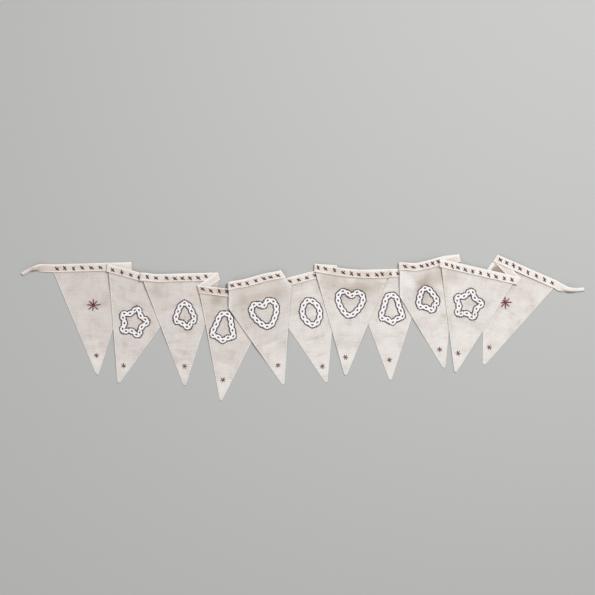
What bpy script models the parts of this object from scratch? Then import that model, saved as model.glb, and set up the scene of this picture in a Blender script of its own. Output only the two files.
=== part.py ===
# Fabric bunting: eleven linen pennants sewn on one cotton tape, laid down in a zigzag row.
# The tape runs across the front of each pennant and is folded back on itself between two of them.
# Nine pennants carry a motif of white ring braid. Lengths are in millimetres, angles in degrees.

import math
from collections import namedtuple

import bmesh
import bpy
from mathutils import Vector

MM = 0.001
MIDDLE = (-1.4, 1.9)   # of the whole laid bunting, in the frame of the tables below

# Cloth and the way one sheet lies on another
CLOTH_THICK = 1.0      # a turned linen pennant, and the tape
BRAID_THICK = 1.2
BRAID_GAP = 0.5
SEWN_GAP = 0.4         # the tape over the linen that it is sewn to
LOOSE_GAP = 0.7        # a sheet that only lies on another
CLEAR = 5.0            # an upper sheet stays at full height this far past an edge below it
RAMP = 44.0            # and comes down to the surface over this length
CELL_WIDE = 11.0       # the cells that a sheet is bent in
CELL_DEEP = 12.0
NEAR_FOLD = 1.0        # no cell of the tape is narrower than this beside a fold
FLAT_ANGLE = 0.02      # neighbouring cells flatter than this become one face
SAME_POINT = 1e-5      # points closer than this are one

# Pennants
TAPE_WIDE = 14.4
TIP_HALF = 2.7         # half of the blunt tip
TIP_ROUND = 1.6
SAG_FADE = 70.0        # a sag of the top edge dies out this far down
CREASE = 2.7           # length of cloth in a turned corner's bend
BEND_STEPS = 4
LEAST_ROLL = 0.01      # a free end is never rolled less than this

# Ring braid
RING_WIDE = 9.6
WAIST_WIDE = 6.2       # between two rings
RING_PITCH = 10.5
CORNER_CUT = 0.25      # share of each side taken off where a shape is rounded
NARROWER = 0.95        # step by which the braid is made narrower inside a tight corner

# One row a pennant, from the left: the tip, the turn of the top edge (clockwise), the width at the
# tape's lower edge, the depth from there to the tip, how far the tip leans along the top edge,
# and how far the middle of the top edge sags.
Pennant = namedtuple("Pennant", "tip_x tip_y turn wide deep lean sag")
PENNANTS = {
    1: Pennant(-370.6, -85.5, -1.7, 141.2, 187.1, 3.5, 0.0),
    2: Pennant(-332.8, -99.9, 15.9, 141.6, 187.3, 0.5, 0.0),
    3: Pennant(-213.7, -104.4, -1.7, 136.9, 187.3, 0.0, 0.0),
    4: Pennant(-148.5, -131.4, 7.0, 130.7, 186.9, -3.9, 0.0),
    5: Pennant(-35.8, -102.6, -15.7, 136.9, 187.2, 0.1, 0.0),
    6: Pennant(41.6, -99.0, -14.4, 136.4, 185.8, 0.5, 0.0),
    7: Pennant(75.8, -86.2, 4.9, 130.4, 181.1, 4.9, 4.2),
    8: Pennant(156.6, -94.5, -1.4, 134.0, 185.4, -0.3, 0.0),
    9: Pennant(253.6, -72.9, -12.4, 127.9, 184.9, 2.1, 4.0),
    10: Pennant(273.2, -80.5, 12.9, 133.0, 178.3, 0.6, 0.0),
    11: Pennant(324.2, -67.1, 23.6, 138.7, 177.1, 8.6, 0.0),
}

# How far the top edge is pushed down beside its left and right end, up where negative. It dies out along
# the edge and, as a sag does, down the pennant.
Nudge = namedtuple("Nudge", "left right")
NUDGES = {3: Nudge(-3.6, 0.0), 5: Nudge(-2.7, 2.5), 9: Nudge(-6.0, 1.5)}
NUDGE_FADE = 32.0

# Turned corners: where the crease crosses the middle of the tape, and the side that is turned.
# The corner of pennant 4 goes over it with its tape, the others go under.
Corner = namedtuple("Corner", "name pennant at side")
CORNERS = [
    Corner("flap_4r", 4, 47.8, 1),
    Corner("flap_5l", 5, -45.3, -1),
    Corner("flap_5r", 5, 51.1, 1),
    Corner("flap_9l", 9, -36.7, -1),
    Corner("flap_11l", 11, -48.4, -1),
]

# The tape on each pennant runs this far past the pennant's own two sides before it is folded back.
Reach = namedtuple("Reach", "left right")
REACH = {
    1: Reach(0.0, -0.5), 2: Reach(3.5, 1.0), 3: Reach(3.5, -2.0), 4: Reach(3.5, 0.0),
    5: Reach(0.0, 0.0), 6: Reach(0.5, 0.5), 7: Reach(0.7, 0.7), 8: Reach(0.5, 0.5),
    9: Reach(0.0, 7.0), 10: Reach(3.5, 7.5), 11: Reach(0.0, 0.0),
}

# Where the tape bends between two pennants besides their own ends, in the plane of the surface.
Turn = namedtuple("Turn", "after x y")
TURNS = [Turn(5, -50.0, 76.5)]

# The free ends, outwards from the last pennant: the middle of the tape, its heading in the order that
# it is sewn, how far its upper half is folded over the lower one, and how far it is lifted.
End = namedtuple("End", "x y heading roll lift")
LEFT_END = [
    End(-459.0, 107.1, 0.0, 0.0, 0.0),
    End(-468.0, 107.1, 0.0, 10.0, 0.0),
    End(-475.2, 107.2, 4.0, 40.0, 0.0),
    End(-482.5, 107.0, 14.0, 85.0, 0.0),
    End(-489.5, 105.3, 25.0, 130.0, 0.4),
    End(-498.4, 100.3, 32.0, 160.0, 1.2),
    End(-505.8, 95.4, 34.0, 170.0, 2.0),
]
RIGHT_END = [
    End(461.3, 72.8, -27.0, 10.0, 0.0),
    End(470.0, 70.0, -15.0, 60.0, 0.0),
    End(479.9, 68.7, -7.0, 110.0, 0.0),
    End(489.8, 68.0, -4.0, 150.0, 0.6),
    End(497.9, 67.4, 0.0, 165.0, 1.6),
    End(505.1, 67.3, 2.0, 170.0, 2.6),
]

# What each layer lies on. A layer is a pennant, a turned corner, or a stretch of tape.
LIES_ON = {
    "pennant_1": [], "tape_1": ["pennant_1"], "back_1": ["tape_1"],
    "pennant_2": ["back_1"], "tape_2": ["pennant_2"], "back_2": ["tape_2"],
    "pennant_3": ["back_2"], "tape_3": ["pennant_3"], "back_3": ["tape_3"],
    "pennant_4": ["back_3"], "tape_4": ["pennant_4"], "back_4": ["tape_4"],
    "flap_4r": ["back_4"], "flap_5l": ["back_4"],
    "pennant_6": [], "tape_6": ["pennant_6"], "back_5": ["tape_6"], "back_5b": ["tape_6"],
    "flap_5r": ["back_5", "back_5b"],
    "pennant_5": ["flap_4r", "flap_5l", "flap_5r"], "tape_5": ["pennant_5"],
    "pennant_8": [], "tape_8": ["pennant_8"], "back_6": ["tape_6"], "back_7": ["tape_8"],
    "pennant_7": ["back_6", "back_7"], "tape_7": ["pennant_7"],
    "back_8": ["tape_8"], "flap_9l": ["back_8"],
    "pennant_9": ["flap_9l"], "tape_9": ["pennant_9"], "back_9": ["tape_9"],
    "flap_11l": [], "pennant_11": ["flap_11l"], "back_10": ["pennant_11"],
    "tape_11": ["pennant_11", "back_10"],
    "pennant_10": ["back_9", "back_10"], "tape_10": ["pennant_10"],
}

# Motifs: the shape, and its middle from the middle of the pennant's top edge.
Motif = namedtuple("Motif", "shape along down")
MOTIFS = {
    2: Motif("star", -3.0, 74.0),
    3: Motif("tree", 4.5, 59.0),
    4: Motif("bell", -13.5, 55.0),
    5: Motif("heart", 3.0, 58.0),
    6: Motif("lozenge", 5.0, 57.0),
    7: Motif("heart", 2.0, 52.0),
    8: Motif("bell", 7.5, 57.0),
    9: Motif("tree", -1.5, 55.0),
    10: Motif("star", -4.0, 54.0),
}

# Half of each shape, from its top down the right side to its foot: across and up from its middle.
HALF_SHAPES = {
    "star": [(0, 30), (8.5, 11), (28, 9), (13.5, -5), (17.5, -25), (0, -14)],
    "tree": [(0, 31), (21, -13), (8, -13), (8, -28)],
    "bell": [(0, 26), (10, 21), (13, 4), (22, -17), (8, -18), (0, -27)],
    "heart": [(0, 13), (7, 24), (17, 24), (24, 14), (20, -3), (0, -27)],
    "lozenge": [(0, 30), (21, 0), (0, -30)],
}

# Colours (linear) and roughness
LINEN_RED, LINEN_GREEN, LINEN_BLUE, LINEN_ROUGH = 0.66, 0.60, 0.54, 0.9
LINEN_VARIES = 0.01    # from one pennant to the next
COTTON_COLOR, COTTON_ROUGH = (0.86, 0.82, 0.76), 0.85
BRAID_COLOR, BRAID_ROUGH = (0.90, 0.89, 0.87), 0.8


def axes(row):
    """The pennant's axes in the plane: along its top edge, and down to its tip."""
    turn = math.radians(row.turn)
    along = Vector((math.cos(turn), -math.sin(turn)))
    down = Vector((-math.sin(turn), -math.cos(turn)))
    return along, down


def place(number, u, v):
    """The point of a pennant that lies u along its top edge and v below its tape, in the plane."""
    row = PENNANTS[number]
    along, down = axes(row)
    tip = Vector((row.tip_x, row.tip_y))
    middle = tip - down * row.deep - along * row.lean
    share = max(0.0, min(1.0, u / row.wide + 0.5))
    drop = row.sag * math.sin(math.pi * share)
    if number in NUDGES:
        for side, nudge in ((-1, NUDGES[number].left), (1, NUDGES[number].right)):
            drop += nudge * fade_out((tape_end(number, side) - u) * side / NUDGE_FADE)
    return middle + along * u + down * (v + drop * max(0.0, min(1.0, 1.0 - v / SAG_FADE)))


def fade_out(share):
    """1 at 0 and below, falling softly to 0 at 1."""
    t = max(0.0, min(1.0, share))
    return 1.0 - t * t * (3.0 - 2.0 * t)


def crease_at(corner, v):
    """Where a turned corner's crease crosses the pennant at depth v: it follows the tape's own fold."""
    along, down = axes(PENNANTS[corner.pennant])
    fold = FOLDS[corner.pennant][0] if corner.side > 0 else FOLDS[corner.pennant - 1][-1]
    slope = fold.line.dot(along) / fold.line.dot(down)
    return corner.at + slope * (v + TAPE_WIDE / 2)


def column_lines(row):
    """The lines across which a pennant is bent, along its top edge."""
    columns = round(row.wide / CELL_WIDE)
    return [row.wide * (column / columns - 0.5) for column in range(columns + 1)]


def row_lines(row):
    """The same down the pennant: the tape's edges and middle, then even steps."""
    rows = round(row.deep / CELL_DEEP)
    return [-TAPE_WIDE, -TAPE_WIDE / 2] + [row.deep * step / rows for step in range(rows + 1)]


def side_at(number, side, v):
    """The pennant's own side at depth v: straight beside the tape, then slanting to the tip."""
    row = PENNANTS[number]
    half = row.wide / 2
    share = max(0.0, v) / row.deep
    return side * half + (row.lean + side * TIP_HALF - side * half) * share


def crease_end(corner):
    """The depth at which a crease reaches the pennant's side."""
    low, high = 0.0, PENNANTS[corner.pennant].deep
    for _ in range(40):
        v = (low + high) / 2
        beyond = (side_at(corner.pennant, corner.side, v) - crease_at(corner, v)) * corner.side
        low, high = (v, high) if beyond > 0 else (low, v)
    return (low + high) / 2


def find_corner(number, side):
    for corner in CORNERS:
        if corner.pennant == number and corner.side == side:
            return corner
    return None


def tape_end(number, side):
    """How far along the pennant the tape goes on this side, at its middle line."""
    corner = find_corner(number, side)
    if corner:
        return corner.at
    reach = REACH[number].left if side < 0 else REACH[number].right
    return side * (PENNANTS[number].wide / 2 + reach)


def mirrored(point, start, along):
    """The point on the other side of the line through start."""
    offset = point - start
    return start + along * (2 * offset.dot(along)) - offset


def pennant_outline(number):
    """The flat corners of a pennant as it lies, its turned corners taken off."""
    row = PENNANTS[number]
    corners = []
    for side in (-1, 1):
        turned = find_corner(number, side)
        if turned:
            end = crease_end(turned)
            edge = [(crease_at(turned, -TAPE_WIDE), -TAPE_WIDE), (crease_at(turned, end), end)]
        else:
            edge = [(side * row.wide / 2, -TAPE_WIDE), (side * row.wide / 2, 0.0)]
        edge.append((row.lean + side * TIP_HALF, row.deep))
        corners += edge if side < 0 else edge[::-1]
    return [place(number, u, v) for u, v in corners]


def flap_outline(corner):
    """The turned corner as it lies, mirrored about its crease."""
    end = crease_end(corner)
    start = place(corner.pennant, crease_at(corner, -TAPE_WIDE), -TAPE_WIDE)
    stop = place(corner.pennant, crease_at(corner, end), end)
    along = (stop - start).normalized()
    half = corner.side * PENNANTS[corner.pennant].wide / 2
    outer = [place(corner.pennant, half, 0.0), place(corner.pennant, half, -TAPE_WIDE)]
    return [start, stop] + [mirrored(p, start, along) for p in outer]


# A fold of the tape: its middle, the line that it is folded along, and the way that it bulges.
Fold = namedtuple("Fold", "middle line out stretch")


def tape_fold(point, heading_in, heading_out):
    """A fold where the tape comes back on itself, or a plain bend where it goes on."""
    out = (heading_in - heading_out).normalized()
    if heading_in.dot(heading_out) > 0:
        line = out
    else:
        line = Vector((-out.y, out.x))
    if line.y < 0:
        line = -line
    slant = abs(heading_in.x * line.y - heading_in.y * line.x)
    return Fold(point, line, out, 1.0 / slant)


def fold_point(fold, across):
    return fold.middle + fold.line * (across * fold.stretch)


def tape_folds():
    """Every fold of the tape between two pennants, in the order that it is sewn."""
    folds = {}
    for number in range(1, 11):
        here = axes(PENNANTS[number])[0]
        after = axes(PENNANTS[number + 1])[0]
        points = [place(number, tape_end(number, 1), -TAPE_WIDE / 2)]
        points += [Vector((turn.x, turn.y)) for turn in TURNS if turn.after == number]
        points.append(place(number + 1, tape_end(number + 1, -1), -TAPE_WIDE / 2))
        headings = [here]
        headings += [(b - a).normalized() for a, b in zip(points, points[1:])]
        headings.append(after)
        folds[number] = [tape_fold(p, headings[i], headings[i + 1]) for i, p in enumerate(points)]
    return folds


def strip_outline(first, last):
    half = TAPE_WIDE / 2
    return [fold_point(fold, across) for fold, across in ((first, -half), (first, half), (last, half), (last, -half))]


def counter_clockwise(outline):
    area = sum(a.x * b.y - b.x * a.y for a, b in zip(outline, outline[1:] + outline[:1]))
    return outline if area > 0 else outline[::-1]


def layer_outlines(folds):
    """The footprint of every layer, as it lies in the plane."""
    outlines = {f"pennant_{n}": pennant_outline(n) for n in PENNANTS}
    outlines.update({corner.name: flap_outline(corner) for corner in CORNERS})
    half = TAPE_WIDE / 2
    for number, row in PENNANTS.items():
        left, right = tape_end(number, -1), tape_end(number, 1)
        corners = [(left, 0.0), (right, 0.0), (right, -TAPE_WIDE), (left, -TAPE_WIDE)]
        outlines[f"tape_{number}"] = [place(number, u, v) for u, v in corners]
    for number, turns in folds.items():
        for name, first, last in back_stretches(number, turns):
            outlines[name] = strip_outline(first, last)
    return {name: counter_clockwise(outline) for name, outline in outlines.items()}


def back_stretches(number, turns):
    """The stretches of tape between two pennants, each with the layer that it is."""
    names = [f"back_{number}", f"back_{number}b"]
    return list(zip(names, turns, turns[1:]))


FOLDS = tape_folds()
OUTLINES = layer_outlines(FOLDS)


def share_on(name, point):
    """1 on a layer and just past its edge, falling softly to 0 away from it."""
    outline = OUTLINES[name]
    beyond = []
    for a, b in zip(outline, outline[1:] + outline[:1]):
        edge = (b - a).normalized()
        beyond.append((point - a).dot(Vector((edge.y, -edge.x))))
    return fade_out((max(beyond) - CLEAR) / RAMP)


def floor_of(name, point):
    """The height of a layer's underside at a point."""
    rise = CLOTH_THICK + (SEWN_GAP if name.startswith("tape") else LOOSE_GAP)
    under = [floor_of(below, point) + rise * share_on(below, point) for below in LIES_ON[name]]
    return max(under, default=0.0)


def grid_sheet(columns, rows, corner, size):
    """A flat grid of faces from one corner, in the plane of u and v."""
    bm = bmesh.new()
    bmesh.ops.create_grid(bm, x_segments=columns, y_segments=rows, size=0.5)
    for vert in bm.verts:
        vert.co.x = corner[0] + (vert.co.x + 0.5) * size[0]
        vert.co.y = corner[1] + (vert.co.y + 0.5) * size[1]
    return bm


def merge_flat_cells(bm):
    bm.normal_update()
    bmesh.ops.dissolve_limit(bm, angle_limit=math.radians(FLAT_ANGLE), verts=bm.verts[:], edges=bm.edges[:])
    loose = [edge for edge in bm.edges if not edge.link_faces]
    bmesh.ops.delete(bm, geom=loose, context="EDGES")


def cut_sheet(bm, point, direction, keep_left=False):
    """Cut the sheet along a line; keep_left drops what lies to the line's right."""
    normal = Vector((-direction[1], direction[0], 0.0)).normalized()
    geom = bm.verts[:] + bm.edges[:] + bm.faces[:]
    bmesh.ops.bisect_plane(bm, geom=geom, plane_co=(point[0], point[1], 0.0), plane_no=normal,
                           clear_inner=keep_left, dist=SAME_POINT)


def cut_outline(bm, points):
    """Keep only what lies to the left of each line from point to point, in the plane of u and v."""
    for a, b in zip(points, points[1:]):
        cut_sheet(bm, a, (b[0] - a[0], b[1] - a[1]), keep_left=True)


def cloth_object(name, bm, material, thick):
    """Turn a finished sheet into an object of the part, and give it its thickness."""
    bmesh.ops.translate(bm, vec=(-MIDDLE[0], -MIDDLE[1], 0.0), verts=bm.verts[:])
    bmesh.ops.scale(bm, vec=(MM, MM, MM), verts=bm.verts[:])
    mesh = bpy.data.meshes.new(name)
    bm.to_mesh(mesh)
    bm.free()
    obj = bpy.data.objects.new(name, mesh)
    mesh.materials.append(material)
    PART.objects.link(obj)
    solidify = obj.modifiers.new("Thickness", "SOLIDIFY")
    solidify.thickness = thick * MM
    solidify.offset = 0.0
    solidify.use_even_offset = True


def bent_point(number, u, v, bends):
    """A point of the pennant's middle surface, with its turned corners bent round their creases."""
    flat = place(number, u, v)
    for corner, start, outward in bends:
        beyond = (flat - start).dot(outward)
        if beyond <= SAME_POINT:
            continue
        crease = flat - outward * beyond
        main = floor_of(f"pennant_{number}", crease)
        turned = floor_of(corner.name, crease)
        angle = math.pi * min(1.0, beyond / CREASE)
        radius = abs(main - turned) / 2
        spot = crease + outward * (radius * math.sin(angle) - max(0.0, beyond - CREASE))
        if beyond > CREASE:
            height = floor_of(corner.name, spot)
        else:
            height = (main + turned) / 2 + (main - turned) / 2 * math.cos(angle)
        return spot, height
    return flat, floor_of(f"pennant_{number}", flat)


def make_pennant(number, material):
    row = PENNANTS[number]
    half, tip = row.wide / 2, row.lean
    bm = grid_sheet(1, 1, (-half, -TAPE_WIDE), (row.wide, row.deep + TAPE_WIDE))
    for u in column_lines(row)[1:-1]:
        cut_sheet(bm, (u, 0.0), (0.0, 1.0))
    for v in row_lines(row)[1:-1]:
        cut_sheet(bm, (0.0, v), (1.0, 0.0))
    cut_outline(bm, [(half, 0.0), (tip + TIP_HALF, row.deep - TIP_ROUND),
                     (tip + TIP_HALF - TIP_ROUND, row.deep)])
    cut_outline(bm, [(tip - TIP_HALF + TIP_ROUND, row.deep), (tip - TIP_HALF, row.deep - TIP_ROUND),
                     (-half, 0.0)])
    bends = []
    for corner in CORNERS:
        if corner.pennant != number:
            continue
        end = crease_end(corner)
        top = (crease_at(corner, -TAPE_WIDE), -TAPE_WIDE)
        low = (crease_at(corner, end), end)
        start, stop = place(number, *top), place(number, *low)
        along = (stop - start).normalized()
        outward = Vector((-along.y, along.x)) * corner.side
        bends.append((corner, start, outward))
        slant = math.cos(math.atan2(low[0] - top[0], low[1] - top[1]))
        for step in range(BEND_STEPS + 1):
            shift = corner.side * CREASE * step / BEND_STEPS / slant
            cut_sheet(bm, (top[0] + shift, top[1]), (low[0] - top[0], low[1] - top[1]))
    for vert in bm.verts:
        spot, height = bent_point(number, vert.co.x, vert.co.y, bends)
        vert.co = (spot.x, spot.y, height + CLOTH_THICK / 2)
    merge_flat_cells(bm)
    bmesh.ops.recalc_face_normals(bm, faces=bm.faces[:])
    cloth_object(f"pennant_{number:02d}", bm, material, CLOTH_THICK)


ACROSS = [-TAPE_WIDE / 2, -CREASE / 2, 0.0, CREASE / 2, TAPE_WIDE / 2]


def lying_section(points, name):
    """One section of the tape, lying on what is under it."""
    return [(p.x, p.y, floor_of(name, p) + CLOTH_THICK / 2) for p in points]


def fold_sections(fold, before, after):
    """The tape turning back on itself, from one layer to another."""
    sections = []
    for step in range(BEND_STEPS + 1):
        angle = math.pi * step / BEND_STEPS
        section = []
        for across in ACROSS:
            point = fold_point(fold, across)
            low, high = floor_of(before, point), floor_of(after, point)
            spot = point + fold.out * (abs(high - low) / 2 * math.sin(angle))
            height = (low + high) / 2 - (high - low) / 2 * math.cos(angle)
            section.append((spot.x, spot.y, height + CLOTH_THICK / 2))
        sections.append(section)
    return sections


def clear_of_fold(points, fold):
    """Whether a section of the tape is well inside a fold."""
    if fold is None:
        return True
    return all((p - fold_point(fold, a)).dot(-fold.out) > NEAR_FOLD for p, a in zip(points, ACROSS))


def sewn_sections(number, first, last):
    """The tape along one pennant, at the pennant's own columns of cells."""
    sections = []
    for u in column_lines(PENNANTS[number]):
        points = [place(number, u, -TAPE_WIDE / 2 - across) for across in ACROSS]
        if clear_of_fold(points, first) and clear_of_fold(points, last):
            sections.append(lying_section(points, f"tape_{number}"))
    return sections


def back_sections(name, first, last):
    """The tape between two folds."""
    length = (last.middle - first.middle).length
    steps = max(2, round(length / CELL_WIDE))
    sections = []
    for step in range(1, steps):
        share = step / steps
        points = [fold_point(first, a).lerp(fold_point(last, a), share) for a in ACROSS]
        sections.append(lying_section(points, name))
    return sections


def end_section(end, name):
    """A section of a free end: its upper half is rolled over the lower half."""
    heading = math.radians(end.heading)
    across = Vector((-math.sin(heading), math.cos(heading)))
    roll = math.radians(max(end.roll, LEAST_ROLL))
    radius = CREASE / roll
    half = TAPE_WIDE / 2
    profile = [(-half, 0.0), (-CREASE / 2, 0.0)]
    for share in (0.5, 1.0):
        angle = roll * share
        profile.append((-CREASE / 2 + radius * math.sin(angle), radius * (1 - math.cos(angle))))
    rest = half - CREASE / 2
    profile.append((profile[-1][0] + rest * math.cos(roll), profile[-1][1] + rest * math.sin(roll)))
    low = min(s for s, _ in profile)
    high = max(s for s, _ in profile)
    shift = -(low + high) / 2
    middle = Vector((end.x, end.y))
    base = floor_of(name, middle) + CLOTH_THICK / 2 + end.lift
    section = []
    for s, rise in profile:
        spot = middle + across * (s + shift)
        section.append((spot.x, spot.y, base + rise))
    return section


def make_tape(material):
    sections = [end_section(end, "tape_1") for end in reversed(LEFT_END)]
    last = None
    for number in range(1, 12):
        following = FOLDS[number][0] if number < 11 else None
        sections += sewn_sections(number, last, following)
        if number == 11:
            break
        turns = FOLDS[number]
        layers = [f"tape_{number}"] + [name for name, _, _ in back_stretches(number, turns)]
        layers.append(f"tape_{number + 1}")
        for index, fold in enumerate(turns):
            if 0 < index < len(turns) - 1:
                points = [fold_point(fold, across) for across in ACROSS]
                sections.append(lying_section(points, layers[index]))
            else:
                sections += fold_sections(fold, layers[index], layers[index + 1])
            if index + 1 < len(turns):
                sections += back_sections(layers[index + 1], fold, turns[index + 1])
        last = turns[-1]
    sections += [end_section(end, "tape_11") for end in RIGHT_END]

    rows = len(ACROSS) - 1
    bm = grid_sheet(len(sections) - 1, rows, (0.0, 0.0), (len(sections) - 1, rows))
    for vert in bm.verts:
        vert.co = sections[round(vert.co.x)][round(vert.co.y)]
    merge_flat_cells(bm)
    cloth_object("tape", bm, material, CLOTH_THICK)


def rounded(points):
    """A closed line with its corners cut, twice."""
    for _ in range(2):
        cut = []
        for a, b in zip(points, points[1:] + points[:1]):
            cut += [a.lerp(b, CORNER_CUT), a.lerp(b, 1.0 - CORNER_CUT)]
        points = cut
    return points


def even_steps(points, count):
    """The closed line again, as this many even steps."""
    lengths = [0.0]
    for a, b in zip(points, points[1:] + points[:1]):
        lengths.append(lengths[-1] + (b - a).length)
    steps = []
    for step in range(count):
        target = lengths[-1] * step / count
        i = max(j for j, s in enumerate(lengths[:-1]) if s <= target)
        share = (target - lengths[i]) / (lengths[i + 1] - lengths[i])
        steps.append(points[i].lerp(points[(i + 1) % len(points)], share))
    return steps


def braid_sections(shape):
    """The braid of one motif as pairs of points, wide at each ring and narrow between two rings."""
    half = [Vector(point) for point in HALF_SHAPES[shape]]
    other = [Vector((-point.x, point.y)) for point in half[-2:0:-1]]
    line = rounded(half + other)
    length = sum((b - a).length for a, b in zip(line, line[1:] + line[:1]))
    count = 2 * round(length / RING_PITCH)
    middles = even_steps(line, count)
    normals = []
    for i in range(count):
        ahead = middles[(i + 1) % count] - middles[i - 1]
        normals.append(Vector((-ahead.y, ahead.x)).normalized())
    sections = []
    for i, (middle, normal) in enumerate(zip(middles, normals)):
        others = middles[:i] + middles[i + 1:]
        edges = []
        for sideways in (normal, -normal):
            reach = (WAIST_WIDE if i % 2 else RING_WIDE) / 2
            while min((middle + sideways * reach - other).length for other in others) < reach:
                reach *= NARROWER
            edges.append(middle + sideways * reach)
        sections.append(edges)
    return sections


def make_motif(number, motif, material):
    """A closed loop of braid, as a strip of faces whose two ends meet."""
    sections = braid_sections(motif.shape)
    count = len(sections)
    bm = grid_sheet(count, 1, (0.0, 0.0), (count, 1.0))
    for vert in bm.verts:
        flat = sections[round(vert.co.x) % count][round(vert.co.y)]
        spot = place(number, motif.along + flat.x, motif.down - flat.y)
        height = floor_of(f"pennant_{number}", spot) + CLOTH_THICK + BRAID_GAP + BRAID_THICK / 2
        vert.co = (spot.x, spot.y, height)
    bmesh.ops.remove_doubles(bm, verts=bm.verts[:], dist=SAME_POINT)
    bmesh.ops.recalc_face_normals(bm, faces=bm.faces[:])
    cloth_object(f"motif_{number:02d}", bm, material, BRAID_THICK)


def cloth_material(name, color, roughness):
    material = bpy.data.materials.new(name)
    material.use_nodes = True
    shader = material.node_tree.nodes["Principled BSDF"]
    shader.inputs["Base Color"].default_value = (*color, 1.0)
    shader.inputs["Roughness"].default_value = roughness
    shader.inputs["Metallic"].default_value = 0.0
    material.diffuse_color = (*color, 1.0)
    return material


for old in list(bpy.data.objects):
    bpy.data.objects.remove(old)

PART = bpy.data.collections.new("fabric_bunting")
bpy.context.scene.collection.children.link(PART)

for pennant_number in PENNANTS:
    tint = LINEN_VARIES * math.sin(pennant_number * 2.1)
    linen_color = (LINEN_RED + tint, LINEN_GREEN + tint, LINEN_BLUE)
    make_pennant(pennant_number, cloth_material(f"linen_{pennant_number:02d}", linen_color, LINEN_ROUGH))
make_tape(cloth_material("cotton_tape", COTTON_COLOR, COTTON_ROUGH))
for motif_number, chosen in MOTIFS.items():
    white = cloth_material(f"ring_braid_{motif_number:02d}", BRAID_COLOR, BRAID_ROUGH)
    make_motif(motif_number, chosen, white)
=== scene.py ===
import math
import random

import bmesh
import bpy
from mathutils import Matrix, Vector, noise
from mathutils.bvhtree import BVHTree


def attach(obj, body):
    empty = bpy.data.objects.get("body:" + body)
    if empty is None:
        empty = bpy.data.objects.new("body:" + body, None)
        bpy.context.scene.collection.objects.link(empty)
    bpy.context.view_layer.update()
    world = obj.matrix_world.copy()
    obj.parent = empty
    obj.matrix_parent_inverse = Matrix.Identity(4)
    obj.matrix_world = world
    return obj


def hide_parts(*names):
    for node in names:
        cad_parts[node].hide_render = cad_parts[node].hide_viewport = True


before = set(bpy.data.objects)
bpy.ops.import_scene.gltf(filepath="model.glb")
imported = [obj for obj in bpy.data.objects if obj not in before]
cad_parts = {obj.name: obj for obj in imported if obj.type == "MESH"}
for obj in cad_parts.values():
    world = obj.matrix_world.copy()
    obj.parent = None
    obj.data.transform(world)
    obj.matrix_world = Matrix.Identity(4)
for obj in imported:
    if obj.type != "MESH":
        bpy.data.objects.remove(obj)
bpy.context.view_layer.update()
mm = 0.001

# the row as it lies: millimetres and degrees, moved to the frame by middle
middle = (-1.4, 1.9)
cloth = {
    "thick": 1.0,  # the solids' thickness, which the heights keep
    "sewnGap": 0.4, "looseGap": 0.7,
    "clear": 5.0, "ramp": 44.0,
    "tapeWide": 14.4,
    "tipHalf": 2.7,
    "sagFade": 70.0, "nudgeFade": 32.0,
    "crease": 2.7,
}
photo = {"size": 595, "perPixel": 1.8, "acrossZero": 303.4, "downZero": 327.5}

# tip x, tip y, turn, wide, deep, lean, sag of the top edge
pennants = {
    1: (-370.6, -85.5, -1.7, 141.2, 187.1, 3.5, 0.0),
    2: (-332.8, -99.9, 15.9, 141.6, 187.3, 0.5, 0.0),
    3: (-213.7, -104.4, -1.7, 136.9, 187.3, 0.0, 0.0),
    4: (-148.5, -131.4, 7.0, 130.7, 186.9, -3.9, 0.0),
    5: (-35.8, -102.6, -15.7, 136.9, 187.2, 0.1, 0.0),
    6: (41.6, -99.0, -14.4, 136.4, 185.8, 0.5, 0.0),
    7: (75.8, -86.2, 4.9, 130.4, 181.1, 4.9, 4.2),
    8: (156.6, -94.5, -1.4, 134.0, 185.4, -0.3, 0.0),
    9: (253.6, -72.9, -12.4, 127.9, 184.9, 2.1, 4.0),
    10: (273.2, -80.5, 12.9, 133.0, 178.3, 0.6, 0.0),
    11: (324.2, -67.1, 23.6, 138.7, 177.1, 8.6, 0.0),
}
# how far the top edge is pushed down beside its left and right end, up where negative
nudges = {3: (-3.6, 0.0), 5: (-2.7, 2.5), 9: (-6.0, 4.5)}
# turned corners: pennant, where the crease crosses the tape's middle, side
corners = {"flap4r": (4, 47.8, 1), "flap5l": (5, -45.3, -1), "flap5r": (5, 51.1, 1),
           "flap9l": (9, -36.7, -1), "flap11l": (11, -48.4, -1)}
# how far the tape runs past each pennant before it is folded back: left, right
reach = {1: (0.0, -0.5), 2: (3.5, 1.0), 3: (3.5, -2.0), 4: (1.5, 0.0), 5: (0.0, 0.0), 6: (0.5, 0.5),
         7: (0.7, 0.7), 8: (0.5, 0.5), 9: (0.0, 7.0), 10: (3.5, 7.5), 11: (0.0, 0.0)}
# where the tape changes direction between this pennant and the next
turns = {5: [(-50.0, 76.5)]}
# the free ends, outwards: x, y, heading, how far the upper half is rolled over, lift
leftEnd = [(-459.0, 107.1, 0.0, 0.0, 0.0), (-468.0, 107.1, 0.0, 10.0, 0.0), (-475.2, 107.2, 4.0, 40.0, 0.0),
           (-482.5, 107.0, 14.0, 95.0, 0.0), (-489.5, 105.3, 25.0, 145.0, 0.0),
           (-498.4, 100.3, 32.0, 168.0, 0.1), (-505.8, 95.4, 34.0, 174.0, 0.2)]
rightEnd = [(461.3, 72.8, -27.0, 10.0, 0.0), (470.0, 70.0, -15.0, 60.0, 0.0), (479.9, 68.7, -7.0, 110.0, 0.0),
            (489.8, 68.0, -4.0, 155.0, 0.3), (497.9, 68.6, 2.0, 168.0, 0.5), (505.1, 69.2, 3.0, 174.0, 0.8)]
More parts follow.
